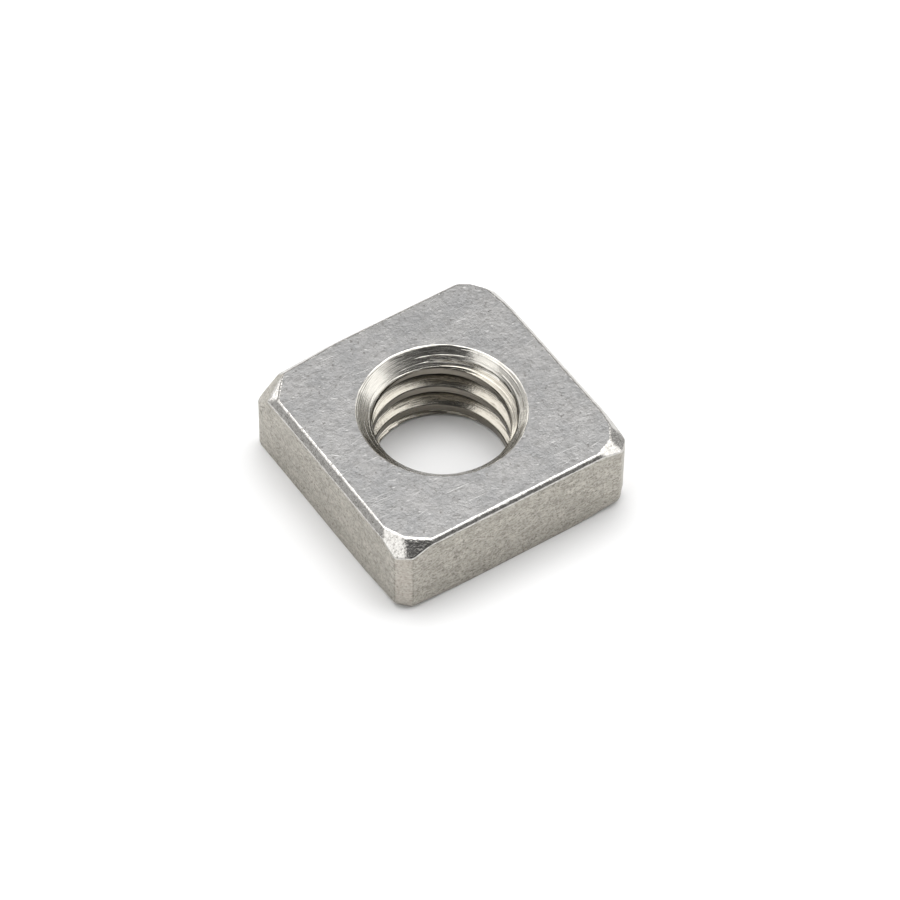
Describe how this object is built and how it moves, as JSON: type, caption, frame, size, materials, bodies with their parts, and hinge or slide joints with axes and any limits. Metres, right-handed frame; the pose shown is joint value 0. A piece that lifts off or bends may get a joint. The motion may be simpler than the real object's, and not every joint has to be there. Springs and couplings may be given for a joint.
{
  "type": "square nut",
  "caption": "Thin square nut with a narrow bevel along each upper edge, flat facets on its upper corners and a right-hand threaded hole, opened by a cone at the crowned face.",
  "frame": {"origin": "middle of the underside, on the axis of the hole", "axes": "+Z along the hole towards the crowned face, X and Y square to the sides"},
  "size_m": [0.0098, 0.0098, 0.0032],
  "materials": {
    "steel": "bright stainless steel, tumbled dull on the outside and cut bright in the hole"
  },
  "bodies": {
    "root": {"square_nut": "steel"}
  },
  "joints": []
}
